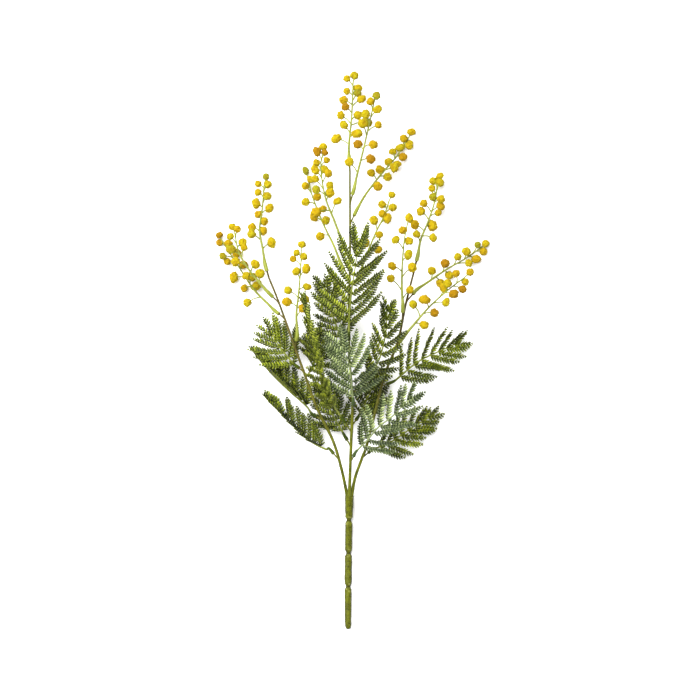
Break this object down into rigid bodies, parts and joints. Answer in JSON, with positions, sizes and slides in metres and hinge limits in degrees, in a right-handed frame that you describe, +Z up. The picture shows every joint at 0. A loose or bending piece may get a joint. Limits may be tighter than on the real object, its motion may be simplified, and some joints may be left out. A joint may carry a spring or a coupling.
{
  "type": "mimosa sprig",
  "caption": "Artificial mimosa sprig lying flat, with a moulded stem, three branches, feathery divided fronds and sprays of round yellow flower heads.",
  "frame": {"origin": "on the surface it lies on, in the middle of the flat under the stem, 22.5 mm from the stem's foot", "axes": "+Y along the sprig from the stem's foot to the flowers, +Z up from the surface it lies on, +X to the right as seen from above with the flowers away from the viewer"},
  "size_m": [0.275, 0.5618, 0.0887],
  "materials": {
    "moulded_stem": "matte olive green, paler at the foot, with worn spots at its joints",
    "branch": "matte olive green, browner towards the tips",
    "frond": "matte mid green",
    "frond_grey": "matte grey-green",
    "flower": "flocked golden yellow heads on yellow-green stalks"
  },
  "bodies": {
    "root": {"branch_centre": "branch", "branch_left": "branch", "branch_right": "branch", "frond_centre_arch": "frond", "frond_centre_back": "frond", "frond_centre_front": "frond", "frond_centre_grey": "frond_grey", "frond_centre_ridge": "frond", "frond_left_edge": "frond", "frond_left_inner": "frond", "frond_left_low": "frond", "frond_left_spread": "frond", "frond_low_left_back": "frond", "frond_low_right_back": "frond", "frond_low_right_grey": "frond_grey", "frond_right_low": "frond", "frond_right_spread": "frond", "spray_left_inner": "flower", "spray_left_lower": "flower", "spray_left_of_top": "flower", "spray_left_of_top_back": "flower", "spray_left_tip": "flower", "spray_left_upper": "flower", "spray_right_lower": "flower", "spray_right_of_centre": "flower", "spray_right_of_top": "flower", "spray_right_outer": "flower", "spray_right_tip": "flower", "spray_right_upright": "flower", "spray_top": "flower", "spray_top_right": "flower", "stem": "moulded_stem"}
  },
  "joints": []
}
